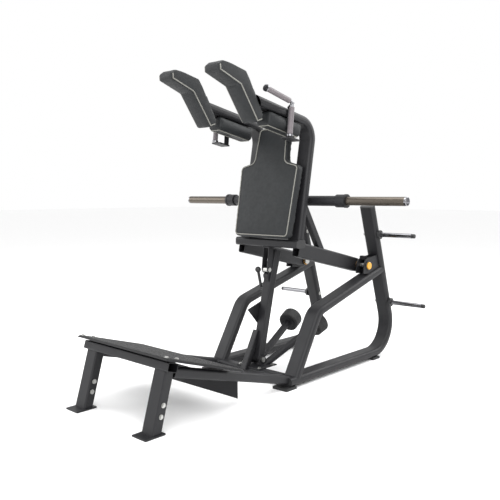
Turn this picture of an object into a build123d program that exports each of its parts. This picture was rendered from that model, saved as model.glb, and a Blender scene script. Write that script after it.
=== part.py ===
# Lever hack squat machine: floor frame, foot platform, swing arm with back
# rest and shoulder pads, and a folding prop that carries the arm at rest.
# Millimetres. +X right, +Y towards the pivot end, +Z up, origin on the floor
# at the middle of the machine's footprint.
import math
import os

from build123d import *

os.makedirs("parts", exist_ok=True)

# tube sections: width across the machine, depth in the bending plane
TUBE_W, TUBE_D, TUBE_R, WALL = 100, 50, 20, 3

# floor frame
CENTRE_Y = 17.0
HALF_LENGTH = 1070.071
FRAME_X = 290
RAIL_Z = 40
RAIL_FRONT_Y = -38
BEND_R = 186
UPRIGHT_TOP = (806, 1010)
UPRIGHT_SLOPE = 0.34
STRUT_FOOT = (40, 66)
STRUT_KNEE = (238, 402)
STRUT_SLOPE = 0.277
STRUT_R = 110

# pivot
PIVOT_Y, PIVOT_Z = 778, 632
AXLE_R = 15
BUSH_CLEARANCE = 0.05
BUSH_R = 20
HUB_R = 34
BRACKET_T = 8
BRACKET_X = (262, 316)

# swing arm
ARM_X, ARM_W, ARM_H = 215, 50, 90
ARM_SLOPE = -0.228
CROSS_Y, CROSS_Z = 165, 803
CROSS_D, CROSS_H, CROSS_HALF = 80, 50, 240
SPINE_X = 188
SPINE_FOOT_Z = CROSS_Z + CROSS_H / 2
SPINE_CORNER = (304, 1502)
SPINE_SLOPE = 0.18
SPINE_BEND_R = 104
SPINE_FRONT_Y = -200
BRACE_TOP = (253, 969)
BRACE_FOOT = (386, 761)
BRACE_W = 40
BRACE_X = 215

# weight bar
BAR_Y, BAR_Z = 296, 1055
BAR_R, SLEEVE_R, PLUG_R = 30, 25, 19
COLLAR_R, COLLAR_FLANGE_R = 37.5, 39.5
COLLAR_IN, COLLAR_OUT = 402, 470
SLEEVE_END = 850

# back rest
PAD_LEAN = 0.195
PAD_FOOT = (76, 842)
PAD_T, BOARD_T = 48, 10
PAD_W_FOOT, PAD_W_TOP, NECK_W_LOW, NECK_W_TOP = 422, 452, 240, 222
PAD_SHOULDER_H, PAD_TOP_H = 430, 665

# shoulder pads
SP_X, SP_W = 178, 108
SP_PROFILE = (
    (-490, 1704),
    (-492, 1738),
    (-462, 1760),
    (-401, 1754),
    (-290, 1731),
    (-262, 1694),
    (-156, 1517),
    (-164, 1488),
    (-208, 1472),
    (-339, 1651),
)
SP_SEAT = ((-262, 1694), (-156, 1517))
BLOCK_T, BLOCK_W = 78, 98

# grips
GRIP_X, GRIP_R, GRIP_BAR_R = 291, 15, 10
GRIP_LOW = (-5, 1420)
GRIP_JOINT = (14, 1596)
GRIP_TIP = (-200, 1645)

# storage horns
HORN_R, HORN_END_X = 15, 592
SPIGOT = 0.5
HORN_POINTS = ((867, 831), (1025, 365))
HORN_COLLAR_R, HORN_COLLAR_T, HORN_CAP_T = 29, 16, 14

# platform
PLAT_A, PLAT_B = (-869, 274), (-26, 48)
SKIRT_Y, SKIRT_TOP = -436, 140
PLATE_FRONT, PLATE_REAR = (-952, 359), (-497, 221)
PLATE_HALF_FRONT, PLATE_HALF_REAR = 367, 411
PLATE_T, TREAD_T = 6, 6
LEG_X, LEG_W, LEG_D = 273, 84, 52
LEG_FOOT, LEG_TOP = (-980, 8), (-899, 290)

# prop and bumpers
PROP_HINGE = (60, 104)
PROP_KNEE = (174, 590)
PROP_TOP = (222, 752)
PROP_W, PROP_D = 60, 52
PIN_R = 10
BUMPER_POS = (512, 262)
BUMPER_X, BUMPER_R, BUMPER_L = 108, 66, 80
ROLLER_POS, ROLLER_R = (139, 638), 16
LEDGE_ANGLE = math.radians(32)
LEVER_X, KNOB_R = -52, 18

GAP = 0.4


def pt(x, yz):
    return (x, yz[0], yz[1])


def along(a, b, t):
    return (a[0] + (b[0] - a[0]) * t, a[1] + (b[1] - a[1]) * t)


def unit(a, b):
    n = math.dist(a, b)
    return ((b[0] - a[0]) / n, (b[1] - a[1]) / n)


def section(width, depth, radius, wall):
    outer = RectangleRounded(width, depth, radius)
    if wall:
        outer -= RectangleRounded(width - 2 * wall, depth - 2 * wall, max(radius - wall, 1))
    return outer


def tube(x, points, width, depth, radius, wall, bend=0):
    """Sweep a rounded tube along a path that lies in the plane X = x."""
    pts = [pt(x, p) for p in points]
    path = FilletPolyline(*pts, radius=bend) if bend else Polyline(*pts)
    start = Plane(origin=path @ 0, x_dir=(1, 0, 0), z_dir=path % 0)
    return sweep(start * section(width, depth, radius, wall), path=path)


def straight(a, b, width, depth, radius, wall, side=(1, 0, 0)):
    """Straight rounded tube between two points in space."""
    d = Vector(*b) - Vector(*a)
    plane = Plane(origin=a, x_dir=side, z_dir=d)
    return extrude(plane * section(width, depth, radius, wall), d.length)


def rod(a, b, radius):
    d = Vector(*b) - Vector(*a)
    return extrude(Plane(origin=a, z_dir=d) * Circle(radius), d.length)


def ring(a, b, outer, inner):
    d = Vector(*b) - Vector(*a)
    return extrude(Plane(origin=a, z_dir=d) * (Circle(outer) - Circle(inner)), d.length)


def slab(points, x0, x1):
    """Flat plate with a YZ outline between X = x0 and X = x1."""
    lo, hi = min(x0, x1), max(x0, x1)
    face = make_face(Polyline(*[pt(lo, p) for p in points], close=True))
    return extrude(face, hi - lo, dir=(1, 0, 0))


def box(x, y, z):
    """Axis-aligned box from three (low, high) pairs."""
    size = [hi - lo for lo, hi in (x, y, z)]
    mid = [(hi + lo) / 2 for lo, hi in (x, y, z)]
    return Pos(*mid) * Box(*size)


def keep_largest(shape):
    return max(shape.solids(), key=lambda s: s.volume)


def mirror_x(shape):
    return mirror(shape, about=Plane.YZ)


def save(name, *shapes):
    solids = [s for shape in shapes for s in shape.solids()]
    made = solids[0] if len(solids) == 1 else Compound(solids)
    made = Pos(0, -CENTRE_Y, 0) * made
    made.label = name
    export_step(made, f"parts/{name}.step")


def save_pair(name, shape):
    save(f"{name}_right", shape)
    save(f"{name}_left", mirror_x(shape))


# floor frame

def upright_at(z):
    return UPRIGHT_TOP[0] + UPRIGHT_SLOPE * (UPRIGHT_TOP[1] - z)


FRAME_PATH = ((RAIL_FRONT_Y, RAIL_Z), (upright_at(RAIL_Z), RAIL_Z), UPRIGHT_TOP)


def side_frame(wall=WALL):
    return tube(FRAME_X, FRAME_PATH, TUBE_W, TUBE_D, TUBE_R, wall, BEND_R)


def strut_path():
    end_y = 960
    end_z = STRUT_KNEE[1] + STRUT_SLOPE * (end_y - STRUT_KNEE[0])
    start = along(STRUT_KNEE, STRUT_FOOT, 1.15)
    return (start, STRUT_KNEE, (end_y, end_z))


def front_strut():
    body = tube(FRAME_X, strut_path(), TUBE_W, TUBE_D, TUBE_R, WALL, STRUT_R)
    return keep_largest(body - side_frame(0))


def strut_envelope():
    return tube(FRAME_X, strut_path(), TUBE_W, TUBE_D, TUBE_R, 0, STRUT_R)


def front_crossmember():
    half = FRAME_X - TUBE_W / 2
    y, z = RAIL_FRONT_Y + 42, RAIL_Z
    bar = straight((-half, y, z), (half, y, z), 70, TUBE_D, 14, WALL, (0, 1, 0))
    return bar


def platform_tube():
    body = straight((FRAME_X - 2, *PLAT_A), (FRAME_X - 2, *PLAT_B), 60, 50, 14, WALL)
    body -= side_frame(0)
    body -= leg_envelope()
    body -= strut_envelope()
    return keep_largest(body)


def upright_cap():
    d = unit((upright_at(0), 0), UPRIGHT_TOP)
    top = Plane(origin=pt(FRAME_X, UPRIGHT_TOP), x_dir=(1, 0, 0), z_dir=(0, d[0], d[1]))
    return extrude(top * RectangleRounded(TUBE_W, TUBE_D, TUBE_R), 8)


def rubber_feet():
    rear_y = 868
    feet = []
    for x in (-FRAME_X, FRAME_X):
        z_top = RAIL_Z - TUBE_D / 2
        feet.append(box((x - 52, x + 52), (rear_y - 40, rear_y + 40), (0, z_top)))
        feet.append(box((x - 52, x + 52), (RAIL_FRONT_Y - 45, RAIL_FRONT_Y + 45), (0, z_top)))
        plane = Plane(origin=(x, RAIL_FRONT_Y, RAIL_Z), x_dir=(1, 0, 0), z_dir=(0, 1, 0))
        plug = RectangleRounded(TUBE_W - 2 * WALL - 1, TUBE_D - 2 * WALL - 1, TUBE_R - WALL)
        feet.append(extrude(plane * plug, 12))
    return feet


# pivot

def pivot_bracket():
    front = (PIVOT_Y - 52, PIVOT_Z - 48)
    rear_z = (PIVOT_Z - 66, PIVOT_Z + 66)
    outline = [
        (front[0], front[1]),
        (PIVOT_Y - 46, PIVOT_Z + 14),
        (PIVOT_Y - 24, PIVOT_Z + 42),
        (PIVOT_Y + 14, PIVOT_Z + 52),
        (upright_at(rear_z[1]) + 6, rear_z[1]),
        (upright_at(rear_z[0]) + 6, rear_z[0]),
    ]
    plates = []
    for x in BRACKET_X:
        plates.append(slab(outline, x - BRACKET_T / 2, x + BRACKET_T / 2))
    web = slab(
        [
            (PIVOT_Y + 22, PIVOT_Z + 34),
            (PIVOT_Y + 22, PIVOT_Z + 44),
            (upright_at(PIVOT_Z + 50), PIVOT_Z + 52),
            (upright_at(PIVOT_Z + 50), PIVOT_Z + 42),
        ],
        BRACKET_X[0] + BRACKET_T / 2,
        BRACKET_X[1] - BRACKET_T / 2,
    )
    body = plates[0] + plates[1] + web
    lug = box((BRACKET_X[0] - 4, BRACKET_X[0] + 34), (PIVOT_Y - 6, PIVOT_Y + 22),
              (PIVOT_Z + 38, PIVOT_Z + 62))
    body += lug
    body -= side_frame(0)
    body -= strut_envelope()
    body -= rod((200, PIVOT_Y, PIVOT_Z), (400, PIVOT_Y, PIVOT_Z), AXLE_R)
    return keep_largest(body)


AXLE_IN, AXLE_OUT = ARM_X - ARM_W / 2 - 12, BRACKET_X[1] + BRACKET_T / 2 + 3


def pivot_axle():
    shaft = rod((AXLE_IN, PIVOT_Y, PIVOT_Z), (AXLE_OUT, PIVOT_Y, PIVOT_Z), AXLE_R)
    head = rod((AXLE_IN - 8, PIVOT_Y, PIVOT_Z), (AXLE_IN, PIVOT_Y, PIVOT_Z), AXLE_R + 8)
    return shaft + head


def pivot_cap():
    x0 = BRACKET_X[1] + BRACKET_T / 2
    shell = rod((x0, PIVOT_Y, PIVOT_Z), (x0 + 14, PIVOT_Y, PIVOT_Z), 24)
    shell = fillet(shell.edges().sort_by(Axis.X)[-1], 5)
    pocket = rod((x0 - 1, PIVOT_Y, PIVOT_Z), (AXLE_OUT, PIVOT_Y, PIVOT_Z), AXLE_R)
    return shell - pocket


def pivot_bush():
    inner = AXLE_R + BUSH_CLEARANCE
    body = ring((ARM_X - ARM_W / 2 - 4, PIVOT_Y, PIVOT_Z), (ARM_X + ARM_W / 2 + 4, PIVOT_Y, PIVOT_Z),
                BUSH_R, inner)
    for side in (-1, 1):
        x0 = ARM_X + side * (ARM_W / 2 + 4)
        body += ring((x0, PIVOT_Y, PIVOT_Z), (x0 + side * 5, PIVOT_Y, PIVOT_Z), HUB_R - 4, inner)
    return body


# swing arm

def arm_at(y):
    return PIVOT_Z + ARM_SLOPE * (y - PIVOT_Y)


def cross_tube(wall=WALL):
    a, b = (-CROSS_HALF, CROSS_Y, CROSS_Z), (CROSS_HALF, CROSS_Y, CROSS_Z)
    return straight(a, b, CROSS_D, CROSS_H, 16, wall, (0, 1, 0))


def arm_box(wall):
    a = (ARM_X, CROSS_Y - 10, arm_at(CROSS_Y - 10))
    b = (ARM_X, PIVOT_Y, PIVOT_Z)
    return straight(a, b, ARM_W, ARM_H, 14, wall)


def swing_arm():
    x0, x1 = ARM_X - ARM_W / 2 - 4, ARM_X + ARM_W / 2 + 4
    hub = rod((x0, PIVOT_Y, PIVOT_Z), (x1, PIVOT_Y, PIVOT_Z), HUB_R)
    body = arm_box(WALL) + hub
    body -= rod((x0 - 1, PIVOT_Y, PIVOT_Z), (x1 + 1, PIVOT_Y, PIVOT_Z), BUSH_R)
    body -= cross_tube(0)
    return keep_largest(body)


def cross_cap():
    a = (CROSS_HALF, CROSS_Y, CROSS_Z)
    return straight(a, (CROSS_HALF + 4, CROSS_Y, CROSS_Z), CROSS_D, CROSS_H, 16, 0, (0, 1, 0))


def spine_at(z):
    return SPINE_CORNER[0] + SPINE_SLOPE * (z - SPINE_CORNER[1])


def spine_path():
    foot = (spine_at(CROSS_Z), CROSS_Z)
    front = (SPINE_FRONT_Y - 60, SPINE_CORNER[1] - SPINE_SLOPE * (SPINE_FRONT_Y - 60 - SPINE_CORNER[0]))
    return (foot, SPINE_CORNER, front)


def spine(wall=WALL):
    body = tube(SPINE_X, spine_path(), TUBE_W, TUBE_D, TUBE_R, wall, SPINE_BEND_R)
    body -= cross_tube(0)
    d = unit(*SP_SEAT)
    n = (-d[1], d[0])
    off = 8 + GAP
    seat = SP_SEAT[0]
    a = (seat[0] + n[0] * off - d[0] * 200, seat[1] + n[1] * off - d[1] * 200)
    b = (seat[0] + n[0] * off + d[0] * 400, seat[1] + n[1] * off + d[1] * 400)
    c = (b[0] - n[0] * 400, b[1] - n[1] * 400)
    e = (a[0] - n[0] * 400, a[1] - n[1] * 400)
    body -= slab([a, b, c, e], SPINE_X - 100, SPINE_X + 100)
    return keep_largest(body)


def brace():
    a, b = along(BRACE_TOP, BRACE_FOOT, -0.35), along(BRACE_TOP, BRACE_FOOT, 1.35)
    body = straight(pt(BRACE_X, a), pt(BRACE_X, b), BRACE_W, BRACE_W, 6, WALL)
    body -= spine(0)
    body -= arm_box(0)
    body -= rod((0, BAR_Y, BAR_Z), (300, BAR_Y, BAR_Z), BAR_R)
    return keep_largest(body)


# weight bar

def weight_bar():
    body = ring((-COLLAR_IN, BAR_Y, BAR_Z), (COLLAR_IN, BAR_Y, BAR_Z), BAR_R, BAR_R - 6)
    for side in (-1, 1):
        x = side * SPINE_X
        inner, outer = sorted((x - side * 44, x + side * 4))
        saddle = box((inner, outer), (spine_at(BAR_Z) - 4, BAR_Y), (BAR_Z - 22, BAR_Z + 22))
        saddle -= rod((-300, BAR_Y, BAR_Z), (300, BAR_Y, BAR_Z), BAR_R)
        solid = spine(0) if side > 0 else mirror_x(spine(0))
        body += keep_largest(saddle - solid)
    return body


def sleeve_collar():
    bore = SLEEVE_R - SPIGOT
    body = ring((COLLAR_IN, BAR_Y, BAR_Z), (COLLAR_OUT - 14, BAR_Y, BAR_Z), COLLAR_R, bore)
    body += ring((COLLAR_OUT - 14, BAR_Y, BAR_Z), (COLLAR_OUT, BAR_Y, BAR_Z), COLLAR_FLANGE_R, bore)
    return body


def sleeve():
    body = rod((COLLAR_OUT, BAR_Y, BAR_Z), (SLEEVE_END, BAR_Y, BAR_Z), SLEEVE_R)
    body = chamfer(body.edges().sort_by(Axis.X)[-1], 2)
    body += rod((COLLAR_IN, BAR_Y, BAR_Z), (COLLAR_OUT, BAR_Y, BAR_Z), SLEEVE_R - SPIGOT)
    body -= rod((SLEEVE_END - 8, BAR_Y, BAR_Z), (SLEEVE_END + 1, BAR_Y, BAR_Z), PLUG_R)
    bore = rod((COLLAR_IN + 8, BAR_Y, BAR_Z), (SLEEVE_END - 60, BAR_Y, BAR_Z), SLEEVE_R - 5)
    return body - bore


# back rest

PAD_DIR = unit((0, 0), (PAD_LEAN, 1))
PAD_PLANE = Plane(origin=(0, PAD_FOOT[0], PAD_FOOT[1]), x_dir=(1, 0, 0),
                  z_dir=(0, -PAD_DIR[1], PAD_DIR[0]))


def pad_outline(inset):
    w0, w1 = PAD_W_FOOT / 2 - inset, PAD_W_TOP / 2 - inset
    n0, n1 = NECK_W_LOW / 2 - inset, NECK_W_TOP / 2 - inset
    z0, zs, zt = inset, PAD_SHOULDER_H - inset, PAD_TOP_H - inset
    pts = [(-w0, z0), (w0, z0), (w1, zs), (n0 + 6, zs + 26), (n1, zt), (-n1, zt), (-n0 - 6, zs + 26), (-w1, zs)]
    face = make_face(Polyline(*pts, close=True))
    return fillet(face.vertices(), 30)


def back_pad():
    body = extrude(PAD_PLANE * pad_outline(0), -PAD_T)
    front = body.faces().sort_by(Axis((0, 0, 0), (0, -PAD_DIR[1], PAD_DIR[0])))[-1]
    return fillet(front.edges(), 12)


def pad_board():
    depth = PAD_T + GAP
    plane = PAD_PLANE.offset(-depth)
    board = extrude(plane * pad_outline(14), -BOARD_T)
    lip = extrude(plane.offset(-BOARD_T) * Pos(0, -12) * Rectangle(300, 52), -5)
    for x in (-75, 75):
        lip -= extrude(plane * Pos(x, -26) * SlotOverall(60, 9), -40)
    stays = None
    for h in (70, 380):
        bar = extrude(plane.offset(-BOARD_T) * Pos(0, h) * Rectangle(330, 44), -40)
        stays = bar if stays is None else stays + bar
    solid = spine(0)
    stays -= solid + mirror_x(solid)
    behind = [s for s in stays.solids() if s.center().Y < spine_at(s.center().Z) - 10]
    body = board + lip
    for s in behind:
        body += s
    return keep_largest(body)


# shoulder pads

def shoulder_pad():
    body = slab(SP_PROFILE, SP_X - SP_W / 2, SP_X + SP_W / 2)
    body = fillet(body.edges().filter_by(Axis.X), 12)
    sides = body.faces().sort_by(Axis.X)
    return fillet(sides[0].edges() + sides[-1].edges(), 10)


def shoulder_plate():
    d = unit(*SP_SEAT)
    n = (-d[1], d[0])
    t0, t1 = GAP, 8 + GAP
    a, b = along(*SP_SEAT, 0.3), along(*SP_SEAT, 0.9)
    corners = [
        (a[0] + n[0] * t0, a[1] + n[1] * t0),
        (b[0] + n[0] * t0, b[1] + n[1] * t0),
        (b[0] + n[0] * t1, b[1] + n[1] * t1),
        (a[0] + n[0] * t1, a[1] + n[1] * t1),
    ]
    return slab(corners, SP_X - 42, SP_X + 42)


def block_pad():
    off = TUBE_D / 2 + BLOCK_T / 2 + 4
    scale = math.hypot(1, SPINE_SLOPE)

    def under(y):
        return SPINE_CORNER[1] - SPINE_SLOPE * (y - SPINE_CORNER[0]) - off * scale

    a, b = (-112, under(-112)), (168, under(168))
    body = straight(pt(SPINE_X, a), pt(SPINE_X, b), BLOCK_W, BLOCK_T, 22, 0)
    ends = body.faces().sort_by(Axis.Y)
    return fillet(ends[0].edges() + ends[-1].edges(), 14)


# grips

def grip_bar():
    path = (along(GRIP_JOINT, GRIP_LOW, 1.0), GRIP_JOINT, GRIP_TIP)
    pts = [pt(GRIP_X, p) for p in path]
    line = FilletPolyline(*pts, radius=18)
    start = Plane(origin=line @ 0, z_dir=line % 0)
    body = sweep(start * Circle(GRIP_BAR_R), path=line)
    for a, b in ((GRIP_JOINT, GRIP_LOW), (GRIP_JOINT, GRIP_TIP)):
        end = along(a, b, 1.0 + 10 / math.dist(a, b))
        near = along(a, b, 1.0)
        body += rod(pt(GRIP_X, near), pt(GRIP_X, end), 19)
    return body


def grip_sleeves():
    made = []
    for a, b in ((GRIP_JOINT, GRIP_LOW), (GRIP_JOINT, GRIP_TIP)):
        length = math.dist(a, b)
        s, e = along(a, b, 28 / length), along(a, b, 1 - 3 / length)
        made.append(ring(pt(GRIP_X, s), pt(GRIP_X, e), GRIP_R, GRIP_BAR_R))
    return made


def handle_bracket():
    x0 = SPINE_X + TUBE_W / 2 + 1
    top_z = SPINE_CORNER[1] - SPINE_SLOPE * (30 - SPINE_CORNER[0])
    plate = slab([(24, 1394), (58, 1388), (72, top_z + 18), (38, top_z + 22)], x0, x0 + 6)
    foot = slab([(-18, 1400), (66, 1386), (66, 1394), (-18, 1408)], x0, GRIP_X + 16)
    arm = rod((x0 + 2, GRIP_JOINT[0] + 30, GRIP_JOINT[1] - 22), (GRIP_X, GRIP_JOINT[0] + 6, GRIP_JOINT[1] - 4), 8)
    body = plate + foot + arm
    body -= grip_bar()
    return keep_largest(body)


# storage horns

def horns():
    made = []
    x0 = FRAME_X + TUBE_W / 2
    x1, x2 = x0 + HORN_COLLAR_T, HORN_END_X - HORN_CAP_T
    for p in HORN_POINTS:
        body = rod(pt(x1, p), pt(x2, p), HORN_R)
        body += rod(pt(x0, p), pt(x1, p), HORN_R - SPIGOT)
        body += rod(pt(x2, p), pt(HORN_END_X, p), HORN_R - 4)
        made.append(body)
    return made


def horn_collars():
    x0 = FRAME_X + TUBE_W / 2
    outer = x0 + HORN_COLLAR_T
    return [ring(pt(x0, p), pt(outer, p), HORN_COLLAR_R, HORN_R - SPIGOT) for p in HORN_POINTS]


def horn_end_caps():
    made = []
    for p in HORN_POINTS:
        cap = rod(pt(HORN_END_X - HORN_CAP_T, p), pt(HORN_END_X + 8, p), HORN_R - 1)
        cap = fillet(cap.edges().sort_by(Axis.X)[-1], 5)
        made.append(cap - rod(pt(HORN_END_X - 30, p), pt(HORN_END_X, p), HORN_R - 4))
    return made


# platform

PLATE_U = unit(PLATE_FRONT, PLATE_REAR)
PLATE_N = (-PLATE_U[1], PLATE_U[0])


def plate_layer(inset, low, high):
    half0, half1 = PLATE_HALF_FRONT - inset, PLATE_HALF_REAR - inset
    length = math.dist(PLATE_FRONT, PLATE_REAR)
    plane = Plane(origin=pt(0, PLATE_FRONT), x_dir=(1, 0, 0), z_dir=(0, PLATE_N[0], PLATE_N[1]))
    pts = [(-half0, inset), (half0, inset), (half1, length - inset), (-half1, length - inset)]
    face = make_face(Polyline(*pts, close=True))
    face = fillet(face.vertices(), 14)
    return extrude(plane.offset(low) * face, high - low)


def leg_envelope():
    a, b = along(LEG_FOOT, LEG_TOP, 0.0), along(LEG_FOOT, LEG_TOP, 1.2)
    return straight(pt(LEG_X, a), pt(LEG_X, b), LEG_W, LEG_D, 8, 0)


def leg():
    a, b = along(LEG_FOOT, LEG_TOP, -0.1), along(LEG_FOOT, LEG_TOP, 1.2)
    body = straight(pt(LEG_X, a), pt(LEG_X, b), LEG_W, LEG_D, 8, WALL)
    body -= box((0, 500), (-1200, -500), (-100, 8))
    body -= platform_beam()
    body -= plate_layer(0, -PLATE_T - GAP, 200)
    return keep_largest(body)


def foot_plate():
    return box((LEG_X - 50, LEG_X + 50), (CENTRE_Y - HALF_LENGTH, -938), (0, 8))


def platform_beam():
    y, z = PLATE_FRONT[0] + 52, PLATE_FRONT[1] - 52
    return straight((-LEG_X - 62, y, z), (LEG_X + 62, y, z), 60, 44, 8, WALL, (0, PLATE_U[0], PLATE_U[1]))


def beam_envelope():
    y, z = PLATE_FRONT[0] + 52, PLATE_FRONT[1] - 52
    return straight((-LEG_X - 62, y, z), (LEG_X + 62, y, z), 60, 44, 8, 0, (0, PLATE_U[0], PLATE_U[1]))


def skirt_plate():
    body = box((-300, 300), (SKIRT_Y - 2, SKIRT_Y + 2), (42, 160))
    for s in (-1, 1):
        under = straight((s * (FRAME_X - 2), *PLAT_A), (s * (FRAME_X - 2), *PLAT_B), 60, 50, 14, 0)
        body -= under + Pos(0, 0, 40) * under
    return keep_largest(body - box((-400, 400), (SKIRT_Y - 5, SKIRT_Y + 5), (SKIRT_TOP, 400)))


# prop

PROP_PATH = (PROP_HINGE, PROP_KNEE, PROP_TOP)


def prop_strut():
    body = tube(0, PROP_PATH, PROP_W, PROP_D, 8, WALL, 60)
    eye = rod((-PROP_W / 2, PROP_HINGE[0], PROP_HINGE[1]), (PROP_W / 2, PROP_HINGE[0], PROP_HINGE[1]), 24)
    body += eye
    ry, rz = ROLLER_POS
    u = (math.cos(LEDGE_ANGLE), math.sin(LEDGE_ANGLE))
    seat = (ry + u[1] * (ROLLER_R + 1), rz - u[0] * (ROLLER_R + 1))
    rear = (seat[0] + u[0] * 22, seat[1] + u[1] * 22)
    tip = (seat[0] - u[0] * 22, seat[1] - u[1] * 22)
    body += slab([rear, tip, (tip[0] - 3, tip[1] - 12), (ry + 8, rz - 90), (ry + 34, rz - 78)], -17, 17)
    body -= rod((-100, PROP_HINGE[0], PROP_HINGE[1]), (100, PROP_HINGE[0], PROP_HINGE[1]), PIN_R + BUSH_CLEARANCE)
    return keep_largest(body)


def prop_lever():
    """Short release lever with a round knob on the left face of the prop."""
    foot, head = (150, 520), (120, 636)
    arm = rod(pt(LEVER_X, foot), pt(LEVER_X, head), 9)
    boss = rod(pt(LEVER_X - 9, foot), pt(-PROP_W / 2, foot), 10)
    knob = Pos(*pt(LEVER_X, head)) * Sphere(KNOB_R)
    return [(arm + boss) - knob, knob]


def prop_pedal():
    outline = [(6, 405), (170, 456), (176, 420), (128, 298), (106, 298)]
    body = slab(outline, -PROP_W / 2 - 6, -PROP_W / 2)
    return keep_largest(body - tube(0, PROP_PATH, PROP_W, PROP_D, 8, 0, 60))


def prop_base_bracket():
    y, z = PROP_HINGE
    base = box((-92, 92), (RAIL_FRONT_Y + 8, y + 70), (RAIL_Z + TUBE_D / 2, RAIL_Z + TUBE_D / 2 + 6))
    ears = None
    outline = [(y - 40, z - 28), (y + 44, z - 28), (y + 20, z + 22), (y - 20, z + 22)]
    for x in (-PROP_W / 2 - 9, PROP_W / 2 + 3):
        ear = slab(outline, x, x + 6)
        ears = ear if ears is None else ears + ear
    body = base + ears
    return body - rod((-100, y, z), (100, y, z), PIN_R)


def prop_hinge_pin():
    y, z = PROP_HINGE
    half = PROP_W / 2 + 9
    pin = rod((-half, y, z), (half, y, z), PIN_R)
    for s in (-1, 1):
        pin += rod((s * half, y, z), (s * (half + 8), y, z), 15)
    return pin


def prop_stop_post():
    """Fixed leaning tube on the crossmember that the upright prop rests against."""
    a, b = (-22, -36, RAIL_Z + 10), (-22, 78, 268)
    body = straight(a, b, 38, 38, 5, WALL)
    body -= crossmember_envelope() + prop_base_bracket()
    body -= tube(0, PROP_PATH, PROP_W + 4, PROP_D + 3, 9, 0, 60)
    return keep_largest(body)


def crossmember_envelope():
    half = FRAME_X - TUBE_W / 2
    y, z = RAIL_FRONT_Y + 42, RAIL_Z
    return straight((-half, y, z), (half, y, z), 70, TUBE_D, 14, 0, (0, 1, 0))


def bumper_axis():
    foot = (36, 100, RAIL_Z + 34)
    head = (BUMPER_X, BUMPER_POS[0], BUMPER_POS[1])
    return Vector(*foot), Vector(*head)


def bumper_post():
    foot, head = bumper_axis()
    d = (head - foot).normalized()
    a, b = foot - d * 60, head - d * (BUMPER_L / 2 + 6)
    body = straight(tuple(a), tuple(b), 40, 30, 6, WALL)
    body += rod(tuple(b), tuple(b + d * 6), BUMPER_R - 18)
    body -= prop_base_bracket()
    body -= crossmember_envelope()
    return keep_largest(body)


def bumper():
    foot, head = bumper_axis()
    d = (head - foot).normalized()
    a, b = head - d * (BUMPER_L / 2), head + d * (BUMPER_L / 2)
    body = rod(tuple(a), tuple(b), BUMPER_R)
    rims = body.edges().filter_by(GeomType.CIRCLE)
    return fillet(rims, 9)


# catch under the cross tube

def catch_link():
    ry, rz = ROLLER_POS
    top = CROSS_Z - CROSS_H / 2
    outline = [(ry - 4, top), (ry + 42, top), (ry + 19, rz), (ry + 6, rz - 19), (ry - 8, rz - 19), (ry - 19, rz)]
    plates = None
    for x in (-23, 18):
        plate = slab(outline, x, x + 5)
        plates = plate if plates is None else plates + plate
    head = box((-23, 23), (ry - 4, ry + 42), (top - 8, top))
    body = plates + head
    return body - rod((-100, ry, rz), (100, ry, rz), PIN_R)


def catch_pin():
    ry, rz = ROLLER_POS
    body = rod((-23, ry, rz), (23, ry, rz), PIN_R) + rod((-17, ry, rz), (17, ry, rz), ROLLER_R)
    for s in (-1, 1):
        body += rod((s * 23, ry, rz), (s * 27, ry, rz), 13)
    return body


# fasteners

def bolt(at, direction, radius=9, height=7):
    plane = Plane(origin=at, z_dir=direction)
    head = extrude(plane * RegularPolygon(radius, 6), height)
    washer = extrude(plane * Circle(radius + 3), 2)
    return head + washer


def frame_bolts():
    made = []
    for s in (-1, 1):
        for t in (0.28, 0.46):
            y, z = along(LEG_FOOT, LEG_TOP, t)
            made.append(bolt((s * LEG_X + LEG_W / 2, y, z), (1, 0, 0)))
        for y, z in HORN_POINTS:
            made.append(bolt((s * (FRAME_X - TUBE_W / 2), y, z), (-s, 0, 0), 10, 8))
        for d in (14, 78):
            u = along(PLATE_FRONT, PLATE_REAR, d / math.dist(PLATE_FRONT, PLATE_REAR))
            top = (u[0] + PLATE_N[0] * TREAD_T, u[1] + PLATE_N[1] * TREAD_T)
            made.append(bolt((s * (PLATE_HALF_FRONT - 34), top[0], top[1]), (0, PLATE_N[0], PLATE_N[1])))
        for y in (-12, 104):
            made.append(bolt((s * 76, y, RAIL_Z + TUBE_D / 2 + 6), (0, 0, 1)))
    return made


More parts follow.
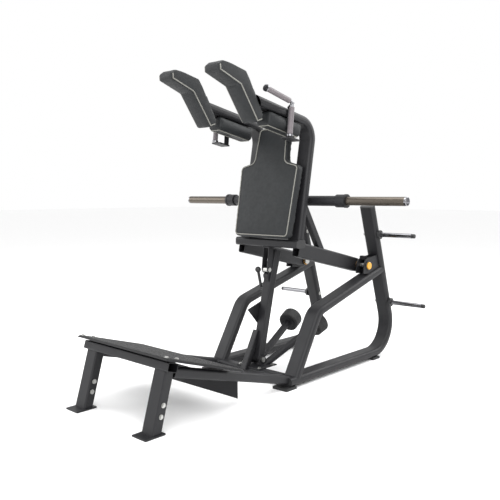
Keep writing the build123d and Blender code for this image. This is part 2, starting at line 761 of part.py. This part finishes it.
def save_all():
    save_pair("side_frame", side_frame())
    save_pair("front_strut", front_strut())
    save_pair("platform_tube", platform_tube())
    save("front_crossmember", front_crossmember())
    cap = upright_cap()
    save("upright_caps", cap, mirror_x(cap))
    save("rubber_feet", *rubber_feet())
    save_pair("pivot_bracket", pivot_bracket())
    axle = pivot_axle()
    save("pivot_axles", axle, mirror_x(axle))
    cap = pivot_cap()
    save("pivot_caps", cap, mirror_x(cap))
    bush = pivot_bush()
    save("pivot_bushes", bush, mirror_x(bush))
    save_pair("swing_arm", swing_arm())
    save("cross_tube", cross_tube())
    cap = cross_cap()
    save("cross_tube_caps", cap, mirror_x(cap))
    save_pair("spine", spine())
    save_pair("brace", brace())
    save("weight_bar", weight_bar())
    save_pair("sleeve", sleeve())
    ring_part = sleeve_collar()
    save("sleeve_collars", ring_part, mirror_x(ring_part))
    save("back_pad", back_pad())
    save("pad_board", pad_board())
    save_pair("shoulder_pad", shoulder_pad())
    plate = shoulder_plate()
    save("shoulder_plates", plate, mirror_x(plate))
    save_pair("block_pad", block_pad())
    save_pair("handle", grip_bar())
    save("handle_grips", *grip_sleeves(), *[mirror_x(g) for g in grip_sleeves()])
    bracket = handle_bracket()
    save("handle_brackets", bracket, mirror_x(bracket))
    rods = horns()
    save("horns", *rods, *[mirror_x(r) for r in rods])
    rings = horn_collars()
    save("horn_collars", *rings, *[mirror_x(r) for r in rings])
    caps = horn_end_caps()
    save("horn_end_caps", *caps, *[mirror_x(c) for c in caps])
    save_pair("leg", leg())
    pad = foot_plate()
    save("foot_plates", pad, mirror_x(pad))
    save("platform_beam", platform_beam())
    save("platform_plate", plate_layer(0, -PLATE_T, 0))
    save("platform_tread", plate_layer(5, 0, TREAD_T))
    save("skirt_plate", skirt_plate())
    save("prop_strut", prop_strut())
    save("prop_pedal", prop_pedal())
    save("prop_base_bracket", prop_base_bracket())
    save("prop_hinge_pin", prop_hinge_pin())
    save("prop_stop_post", prop_stop_post())
    save("prop_lever", *prop_lever())
    save_pair("bumper_post", bumper_post())
    save_pair("bumper", bumper())
    save("catch_link", catch_link())
    save("catch_pin", catch_pin())
    save("frame_bolts", *frame_bolts())


if __name__ == "__main__":
    save_all()
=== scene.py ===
import math

import bmesh
import bpy
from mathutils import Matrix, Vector
from mathutils.bvhtree import BVHTree
from mathutils.kdtree import KDTree


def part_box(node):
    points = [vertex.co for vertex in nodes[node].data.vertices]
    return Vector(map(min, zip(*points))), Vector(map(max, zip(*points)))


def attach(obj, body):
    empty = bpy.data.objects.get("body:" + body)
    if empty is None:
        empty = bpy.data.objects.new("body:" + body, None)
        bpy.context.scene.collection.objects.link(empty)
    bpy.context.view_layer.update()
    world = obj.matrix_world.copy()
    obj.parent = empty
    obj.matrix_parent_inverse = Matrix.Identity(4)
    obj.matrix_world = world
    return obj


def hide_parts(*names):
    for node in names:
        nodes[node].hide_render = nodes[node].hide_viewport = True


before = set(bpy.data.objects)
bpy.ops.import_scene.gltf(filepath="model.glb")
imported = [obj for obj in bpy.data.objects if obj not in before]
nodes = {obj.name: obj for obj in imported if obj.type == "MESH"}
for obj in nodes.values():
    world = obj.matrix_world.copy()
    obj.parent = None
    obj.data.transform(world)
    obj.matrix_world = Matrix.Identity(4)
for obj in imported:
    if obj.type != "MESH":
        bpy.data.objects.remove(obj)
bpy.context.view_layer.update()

# Shared helpers for the shader graphs.
# Colours are given as sRGB hex and turned to linear in one place; one call
# adds a node with its settings and links.


def linear(hex_colour):
    """An sRGB hex colour as the linear RGBA that a shader socket takes."""
    parts = [int(hex_colour[i:i + 2], 16) / 255 for i in (1, 3, 5)]
    return tuple(p / 12.92 if p <= 0.04045 else ((p + 0.055) / 1.055) ** 2.4 for p in parts) + (1.0,)


def add_node(material, kind, settings=None, inputs=None):
    """One shader node with its settings, socket values and links."""
    node = material.node_tree.nodes.new(kind)
    for key, value in (settings or {}).items():
        setattr(node, key, value)
    for key, value in (inputs or {}).items():
        if isinstance(value, bpy.types.NodeSocket):
            material.node_tree.links.new(value, node.inputs[key])
        else:
            node.inputs[key].default_value = value
    return node


def new_material(name):
    """An empty node material with its Principled shader and its object coordinates."""
    material = bpy.data.materials.new(name)
    material.use_nodes = True
    shader = material.node_tree.nodes["Principled BSDF"]
    where = add_node(material, "ShaderNodeTexCoord").outputs["Object"]
    return material, shader, where


# The tubular frame, the swing arm and every welded bracket.
# Steel tube and plate with a satin charcoal powder coat, which has a faint
# orange-peel skin and a roughness that varies in soft random patches.


def noise(material, where, scale, detail=3.0):
    """A noise value whose features are about 1/scale metres across."""
    return add_node(material, "ShaderNodeTexNoise", None,
                    {"Vector": where, "Scale": scale, "Detail": detail}).outputs["Fac"]


def spread(material, value, low, high):
    """A 0 to 1 value spread between low and high."""
    return add_node(material, "ShaderNodeMapRange", None,
                    {"Value": value, "From Min": 0.3, "From Max": 0.7,
                     "To Min": low, "To Max": high}).outputs["Result"]


def tint(material, shader, factor, dark, light):
    """Base colour that moves between two hex colours."""
    mixed = add_node(material, "ShaderNodeMix", {"data_type": "RGBA"},
                     {"Factor": factor, 6: linear(dark), 7: linear(light)})
    material.node_tree.links.new(mixed.outputs[2], shader.inputs["Base Color"])


def relief(material, shader, height, depth, strength=1.0):
    """Surface bump of a real depth in metres."""
    bump = add_node(material, "ShaderNodeBump", None,
                    {"Height": height, "Distance": depth, "Strength": strength})
    material.node_tree.links.new(bump.outputs["Normal"], shader.inputs["Normal"])


def roughness(material, shader, value, low, high):
    """Roughness that moves between two values."""
    material.node_tree.links.new(spread(material, value, low, high), shader.inputs["Roughness"])


def paint(material, *names):
    """Puts one material on the whole of each named frame piece."""
    for name in names:
        for index in range(len(nodes[name].data.materials)):
            nodes[name].data.materials[index] = material


def both(*names):
    """The left and right names of paired pieces."""
    return [name + side for name in names for side in ("_left", "_right")]


powder_coat, shader, where = new_material("charcoal powder coat")
shader.inputs["Specular IOR Level"].default_value = 0.32
tint(powder_coat, shader, noise(powder_coat, where, 14), "#161618", "#1c1c1f")
roughness(powder_coat, shader, noise(powder_coat, where, 9), 0.44, 0.52)
relief(powder_coat, shader, noise(powder_coat, where, 700), 0.00004, 0.3)
paint(powder_coat, *both("side_frame", "front_strut", "platform_tube", "pivot_bracket", "swing_arm",
                         "spine", "brace", "leg", "bumper_post"),
      "front_crossmember", "cross_tube", "weight_bar", "sleeve_collars", "shoulder_plates",
      "handle_brackets",
      "foot_plates", "platform_beam", "platform_plate", "skirt_plate", "prop_strut", "prop_pedal",
      "prop_base_bracket", "prop_stop_post", "catch_link")

# Bare metal: weight sleeves, horns, handles, axles, pins and bolts.
# The sleeves are turned and polished lengthways with a bright plated end;
# the horns and handles are chromed and the bolts are zinc plated.

PLATED_FROM = 0.838
sleeve_steel, shader, where = new_material("turned sleeve steel")
shader.inputs["Metallic"].default_value = 1.0
split = add_node(sleeve_steel, "ShaderNodeSeparateXYZ", None, {"Vector": where})
reach = add_node(sleeve_steel, "ShaderNodeMath", {"operation": "ABSOLUTE"}, {0: split.outputs["X"]})
plated = add_node(sleeve_steel, "ShaderNodeMath", {"operation": "GREATER_THAN"},
                  {0: reach.outputs[0], 1: PLATED_FROM})
stretched = add_node(sleeve_steel, "ShaderNodeMapping", None, {"Vector": where, "Scale": (500, 30, 30)})
rings = noise(sleeve_steel, stretched.outputs["Vector"], 1.0, 2.0)
tint(sleeve_steel, shader, plated.outputs[0], "#5d5750", "#8f8f92")
dull = spread(sleeve_steel, rings, 0.26, 0.4)
finish = add_node(sleeve_steel, "ShaderNodeMix", {"data_type": "FLOAT"},
                  {0: plated.outputs[0], 2: dull, 3: 0.08})
sleeve_steel.node_tree.links.new(finish.outputs[0], shader.inputs["Roughness"])
relief(sleeve_steel, shader, rings, 0.00001, 0.2)
paint(sleeve_steel, *both("sleeve"))

chrome, shader, where = new_material("bright chrome plate")
shader.inputs["Metallic"].default_value = 1.0
tint(chrome, shader, noise(chrome, where, 20), "#77777a", "#89898c")
roughness(chrome, shader, noise(chrome, where, 60), 0.12, 0.2)
paint(chrome, "horns", *both("handle"))

zinc, shader, where = new_material("zinc plated steel")
shader.inputs["Metallic"].default_value = 1.0
tint(zinc, shader, noise(zinc, where, 90), "#a3a3a2", "#bdbdb9")
roughness(zinc, shader, noise(zinc, where, 300), 0.26, 0.4)
paint(zinc, "frame_bolts", "pivot_axles", "prop_hinge_pin", "catch_pin")

bronze, shader, where = new_material("sintered bronze")
shader.inputs["Metallic"].default_value = 1.0
tint(bronze, shader, noise(bronze, where, 200), "#8f6b38", "#a67f49")
roughness(bronze, shader, noise(bronze, where, 200), 0.35, 0.5)
paint(bronze, "pivot_bushes")

# Rubber, plastic and board: feet, bumpers, tread, caps, grips and pad board.
# Moulded rubber and plastic push or screw on, the ribbed tread sheet is
# glued to the platform plate, and the board behind the pad is plywood.

rubber, shader, where = new_material("moulded black rubber")
tint(rubber, shader, noise(rubber, where, 40), "#161617", "#202021")
roughness(rubber, shader, noise(rubber, where, 120), 0.6, 0.78)
relief(rubber, shader, noise(rubber, where, 900), 0.0002, 0.4)
paint(rubber, "rubber_feet", *both("bumper"))

plastic, shader, where = new_material("black moulded plastic")
tint(plastic, shader, noise(plastic, where, 40), "#161617", "#1f1f21")
roughness(plastic, shader, noise(plastic, where, 150), 0.38, 0.52)
relief(plastic, shader, noise(plastic, where, 1300), 0.0001, 0.4)
paint(plastic, "upright_caps", "cross_tube_caps", "horn_collars", "horn_end_caps", "prop_lever")

yellow, shader, where = new_material("glossy yellow plastic")
tint(yellow, shader, noise(yellow, where, 30), "#c98f18", "#d69c28")
shader.inputs["Roughness"].default_value = 0.16
shader.inputs["Coat Weight"].default_value = 0.6
paint(yellow, "pivot_caps")

RIB_PITCH = 0.012
tread, shader, where = new_material("ribbed tread rubber")
tint(tread, shader, noise(tread, where, 30), "#141415", "#1c1c1d")
roughness(tread, shader, noise(tread, where, 90), 0.5, 0.66)
grain = noise(tread, where, 800)
relief(tread, shader, grain, 0.0001, 0.4)
paint(tread, "platform_tread")

board, shader, where = new_material("stained plywood")
grain_lines = add_node(board, "ShaderNodeMapping", None, {"Vector": where, "Scale": (160, 12, 12)})
tint(board, shader, noise(board, grain_lines.outputs["Vector"], 1.0), "#231f1b", "#38312a")
roughness(board, shader, noise(board, where, 60), 0.55, 0.7)
paint(board, "pad_board")

grip_rubber, shader, where = new_material("knurled grey grip")
tint(grip_rubber, shader, noise(grip_rubber, where, 60), "#5c5659", "#6b6568")
roughness(grip_rubber, shader, noise(grip_rubber, where, 200), 0.42, 0.6)
diamonds = add_node(grip_rubber, "ShaderNodeTexVoronoi", {"distance": "CHEBYCHEV"},
                    {"Vector": where, "Scale": 420})
relief(grip_rubber, shader, diamonds.outputs["Distance"], 0.0007, 0.8)
paint(grip_rubber, "handle_grips")


# Dark rings round the two yellow pivot caps.
# Moulded black plastic bezels, turned in one piece and pressed against the
# outer face of each pivot bracket.


def bezel(name, side):
    """A rounded ring spun about the pivot axis."""
    low, high = (Vector(v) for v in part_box("pivot_caps"))
    middle = (low + high) / 2
    inner = (high.y - low.y) / 2 + 0.0006
    seat = side * (high.x - CAP_DEPTH)
    bm = bmesh.new()
    section = ((0, inner), (0.004, inner), (0.0055, inner + 0.0015),
               (0.0055, inner + 0.0045), (0.003, inner + 0.007), (0, inner + 0.007))
    verts = [bm.verts.new((seat + side * out, middle.y, middle.z + rise)) for out, rise in section]
    edges = [bm.edges.new(pair) for pair in zip(verts, verts[1:] + verts[:1])]
    bmesh.ops.spin(bm, geom=verts + edges, cent=middle, axis=(1, 0, 0), angle=math.tau,
                   steps=64, use_merge=True)
    bmesh.ops.recalc_face_normals(bm, faces=bm.faces)
    mesh = bpy.data.meshes.new(name)
    bm.to_mesh(mesh)
    bm.free()
    mesh.shade_smooth()
    mesh.materials.append(plastic)
    ring = bpy.data.objects.new(name, mesh)
    bpy.context.scene.collection.objects.link(ring)
    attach(ring, "base_frame")


CAP_DEPTH = 0.014
bezel("pivot_bezel_left", -1)
bezel("pivot_bezel_right", 1)


# Upholstered pads: the back pad, the two shoulder pads and the two block pads.
# Foam in charcoal leatherette, stapled to a board on the hidden side and
# piped along the open edges with light grey vinyl; each pad rides the arm.


def settled(name, source, seat, seams, voxel):
    """The pad's cover as cloth, blown out by its foam and held at the board and the seams."""
    mesh = source.data.copy()
    bm = bmesh.new()
    bm.from_mesh(mesh)
    bmesh.ops.remove_doubles(bm, verts=bm.verts, dist=0.0001)
    bm.to_mesh(mesh)
    bm.free()
    pad = bpy.data.objects.new(name, mesh)
    bpy.context.scene.collection.objects.link(pad)
    remesh = pad.modifiers.new("remesh", "REMESH")
    remesh.mode = "VOXEL"
    remesh.voxel_size = voxel
    pad.data = bpy.data.meshes.new_from_object(pad.evaluated_get(bpy.context.evaluated_depsgraph_get()))
    pad.modifiers.clear()
    start = [v.co.copy() for v in pad.data.vertices]
    held = pad.vertex_groups.new(name="held")
    near = [Vector(p) for line in seams for p in line]
    tree = KDTree(len(near))
    for index, place in enumerate(near):
        tree.insert(place, index)
    tree.balance()
    for v in pad.data.vertices:
        if v.normal.dot(seat) > 0.8 or tree.find(v.co)[2] < SEAM_HOLD:
            held.add([v.index], 1.0, "REPLACE")
    cloth = pad.modifiers.new("cloth", "CLOTH")
    cloth.settings.quality = 4
    cloth.settings.mass = 0.3
    cloth.settings.tension_stiffness = 12
    cloth.settings.compression_stiffness = 12
    cloth.settings.bending_stiffness = 0.6
    cloth.settings.use_pressure = True
    cloth.settings.uniform_pressure_force = FOAM_PRESSURE
    cloth.settings.vertex_group_mass = "held"
    cloth.settings.effector_weights.gravity = 0
    cloth.point_cache.frame_start = 1
    cloth.point_cache.frame_end = SETTLE_FRAMES
    frames = SETTLE_FRAMES
    for number in range(1, frames + 1):
        bpy.context.scene.frame_set(number)
    grown = pad.evaluated_get(bpy.context.evaluated_depsgraph_get()).to_mesh()
    moved = [v.co.copy() for v in grown.vertices]
    pad.modifiers.clear()
    for v, first, last in zip(pad.data.vertices, start, moved):
        step = last - first
        v.co = first + step * min(1.0, PAD_RISE / max(step.length, 1e-6))
    bpy.context.scene.frame_set(1)
    for polygon in pad.data.polygons:
        polygon.use_smooth = True
    smooth = pad.modifiers.new("even", "LAPLACIANSMOOTH")
    smooth.iterations = 8
    smooth.lambda_factor = 0.4
    divide = pad.modifiers.new("divide", "SUBSURF")
    divide.levels = 1
    divide.render_levels = 1
    return pad


def upholster(pad, node):
    """Covers a settled pad and puts it in place of its CAD piece, on the arm."""
    pad.data.materials.clear()
    pad.data.materials.append(leatherette)
    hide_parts(node)
    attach(pad, "swing_arm_body")


def outline(source, way):
    """The edge of the flat panel that faces that way, as an ordered ring of points."""
    bm = bmesh.new()
    bm.from_mesh(source.data)
    bmesh.ops.remove_doubles(bm, verts=bm.verts, dist=0.0001)
    bm.normal_update()
    panel = {f for f in bm.faces if f.normal.dot(way) > 0.985}
    edge = {}
    for f in (f for f in bm.faces if f in panel):
        for e in f.edges:
            if sum(g in panel for g in e.link_faces) == 1:
                a, b = (v.co.copy().freeze() for v in e.verts)
                edge.setdefault(a, []).append(b)
                edge.setdefault(b, []).append(a)
    bm.free()
    first = max(edge, key=lambda p: p.z)
    ring, here, last = [first], first, None
    while True:
        onward = [p for p in edge[here] if p != last and p not in ring[1:]]
        if not onward or onward[0] == first:
            break
        last, here = here, onward[0]
        ring.append(here)
    return [Vector(p) for p in ring]


def even_steps(ring, step):
    """A closed ring of points at an even spacing."""
    out = []
    for a, b in zip(ring, ring[1:] + ring[:1]):
        count = max(1, round((b - a).length / step))
        out += [a.lerp(b, k / count) for k in range(count)]
    return out


def under_side(ring):
    """The part of a ring that faces down and forward, as one open line."""
    count = len(ring)
    middle = sum(ring, Vector()) / count
    keep = []
    for k in range(count):
        run = ring[(k + 2) % count] - ring[k - 2]
        out = Vector((0, run.z, -run.y)).normalized()
        if area_sign(ring, middle) < 0:
            out = -out
        keep.append(out.dot(Vector((0, -0.6, -0.8))) > -0.25)
    first = next(k for k in range(count) if keep[k] and not keep[k - 1])
    line = []
    for k in range(first, first + count):
        if not keep[k % count]:
            break
        line.append(ring[k % count])
    return line


def area_sign(ring, middle):
    """Which way round the ring runs, seen from the machine's right."""
    return sum((a - middle).cross(b - middle).x for a, b in zip(ring, ring[1:] + ring[:1]))


def piping(name, pad, line, closed):
    """A round vinyl cord sewn into the seam, half sunk in the cover."""
    bpy.context.view_layer.update()
    surface = BVHTree.FromObject(pad, bpy.context.evaluated_depsgraph_get())
    curve = bpy.data.curves.new(name, "CURVE")
    curve.dimensions = "3D"
    curve.bevel_depth = PIPE_R
    curve.bevel_resolution = 3
    spline = curve.splines.new("POLY")
    spline.points.add(len(line) - 1)
    for point, place in zip(spline.points, line):
        spot, normal = surface.find_nearest(place)[:2]
        point.co = (*(spot + normal * PIPE_R * 0.45), 1)
    spline.use_cyclic_u = closed
    cord = bpy.data.objects.new(name, curve)
    bpy.context.scene.collection.objects.link(cord)
    cord.data.materials.append(vinyl)
    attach(cord, "swing_arm_body")


PAD_RISE = 0.007
SEAM_HOLD = 0.007
SEAM_STEP = 0.006
BACK_VOXEL, SMALL_VOXEL = 0.0065, 0.005
FOAM_PRESSURE = 5.0
SETTLE_FRAMES = 20
PIPE_R = 0.0032

leatherette, shader, where = new_material("charcoal leatherette")
shader.inputs["Specular IOR Level"].default_value = 0.3
tint(leatherette, shader, noise(leatherette, where, 18), "#191b1c", "#202224")
roughness(leatherette, shader, noise(leatherette, where, 50), 0.52, 0.64)
pebble = add_node(leatherette, "ShaderNodeTexVoronoi", None, {"Vector": where, "Scale": 620})
crease = noise(leatherette, where, 22, 5.0)
skin = add_node(leatherette, "ShaderNodeMath", {"operation": "MULTIPLY_ADD"},
                {0: crease, 1: 6.0, 2: pebble.outputs["Distance"]})
relief(leatherette, shader, skin.outputs[0], 0.00018, 0.4)

vinyl, shader, where = new_material("light grey piping vinyl")
tint(vinyl, shader, noise(vinyl, where, 60), "#6c6b65", "#7c7b75")
roughness(vinyl, shader, noise(vinyl, where, 200), 0.35, 0.5)
relief(vinyl, shader, noise(vinyl, where, 900), 0.0001, 0.4)

BACK_WAY = Vector((0, -math.cos(0.195), math.sin(0.195)))
SHOULDER_SEAT = Vector((0, 0.859, 0.512))
BLOCK_SEAT = Vector((0, 0.177, 0.984))

source = nodes["back_pad"]
face = even_steps(outline(source, BACK_WAY), SEAM_STEP)
pad = settled("back_pad_cover", source, -BACK_WAY, [face], BACK_VOXEL)
upholster(pad, "back_pad")
piping("back_pad_piping", pad, face, True)

for side, sign in (("left", -1), ("right", 1)):
    source = nodes["shoulder_pad_" + side]
    flanks = [even_steps(outline(source, Vector((way, 0, 0))), SEAM_STEP) for way in (-1, 1)]
    pad = settled("shoulder_pad_cover_" + side, source, SHOULDER_SEAT, flanks, SMALL_VOXEL)
    upholster(pad, "shoulder_pad_" + side)
    for number, ring in enumerate(flanks):
        piping("shoulder_pad_piping_%s_%d" % (side, number + 1), pad, under_side(ring), False)

    source = nodes["block_pad_" + side]
    under = even_steps(outline(source, -BLOCK_SEAT), SEAM_STEP)
    pad = settled("block_pad_cover_" + side, source, BLOCK_SEAT, [under], SMALL_VOXEL)
    upholster(pad, "block_pad_" + side)
    piping("block_pad_piping_" + side, pad, under, True)

# Platform tread: raised ribs moulded across the rubber sheet.
# The same black rubber as the sheet, standing one and a half millimetres
# proud and running the full width of the platform.


def tread_ribs():
    """All the ribs as one mesh, laid along the top of the sheet."""
    low, high = (Vector(v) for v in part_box("platform_tread"))
    front = Vector((0, low.y + 0.003, high.z))
    rear = Vector((0, high.y - 0.003, low.z + 0.0058))
    slope = (rear - front).normalized()
    up = Vector((0, -slope.z, slope.y))
    length = (rear - front).length
    count = int(length / RIB_PITCH)
    bm = bmesh.new()
    for k in range(1, count):
        share = k / count
        middle = front.lerp(rear, share)
        half = TREAD_HALF_FRONT + (TREAD_HALF_REAR - TREAD_HALF_FRONT) * share
        ring = []
        for across, rise in ((-0.0032, -0.001), (-0.002, 0.0012), (0.002, 0.0012), (0.0032, -0.001)):
            spot = middle + slope * across + up * rise
            ring.append([bm.verts.new((x, spot.y, spot.z)) for x in (-half, half)])
        for a, b in zip(ring, ring[1:] + ring[:1]):
            bm.faces.new((a[0], a[1], b[1], b[0]))
        bm.faces.new([p[0] for p in ring])
        bm.faces.new([p[1] for p in ring])
    bmesh.ops.recalc_face_normals(bm, faces=bm.faces)
    mesh = bpy.data.meshes.new("tread_ribs")
    bm.to_mesh(mesh)
    bm.free()
    mesh.materials.append(tread)
    ribs = bpy.data.objects.new("tread_ribs", mesh)
    bpy.context.scene.collection.objects.link(ribs)
    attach(ribs, "base_frame")


TREAD_HALF_FRONT, TREAD_HALF_REAR = 0.355, 0.398
tread_ribs()

# Camera, floor and lights.
# The floor is one flat sheet, and four broad lamps give the even light
# of a catalogue set.

camera_data = bpy.data.cameras.new("view_camera")
camera_data.lens = 45.15
camera_data.sensor_width = 36
camera_data.shift_y = 0.0045
camera_data.clip_start = 0.1
camera_data.clip_end = 60
camera = bpy.data.objects.new("view_camera", camera_data)
camera.location = (2.4703, -2.7478, 1.0915)
camera.rotation_euler = (math.radians(90 - 5.25), 0, math.radians(42.24))
bpy.context.scene.collection.objects.link(camera)
bpy.context.scene.camera = camera

floor_material, shader, where = new_material("studio floor paint")
shader.inputs["Base Color"].default_value = linear("#fafafa")
shader.inputs["Roughness"].default_value = 0.9
floor_mesh = bpy.data.meshes.new("studio_floor")
bm = bmesh.new()
bmesh.ops.create_grid(bm, x_segments=1, y_segments=1, size=40)
bm.to_mesh(floor_mesh)
bm.free()
floor_mesh.materials.append(floor_material)
floor = bpy.data.objects.new("studio_floor", floor_mesh)
floor.location = (0, 0, -0.0005)
bpy.context.scene.collection.objects.link(floor)

LAMPS = (
    ("key_light", (3.4, -3.2, 3.6), 4.5, 210),
    ("fill_light", (-3.6, -2.6, 2.6), 3.0, 80),
    ("back_light", (1.5, 3.8, 3.2), 3.0, 110),
    ("top_light", (0.0, -0.2, 4.4), 3.5, 120),
)
for name, place, size, power in LAMPS:
    lamp_data = bpy.data.lights.new(name, "AREA")
    lamp_data.size = size
    lamp_data.energy = power
    lamp = bpy.data.objects.new(name, lamp_data)
    lamp.location = place
    aim = Vector((0, 0, 0.9)) - Vector(place)
    lamp.rotation_euler = aim.to_track_quat("-Z", "Y").to_euler()
    bpy.context.scene.collection.objects.link(lamp)

world = bpy.data.worlds.new("studio")
world.use_nodes = True
world.node_tree.nodes["Background"].inputs["Color"].default_value = linear("#ffffff")
world.node_tree.nodes["Background"].inputs["Strength"].default_value = 1.0
bpy.context.scene.world = world
bpy.context.scene.view_settings.view_transform = "Standard"
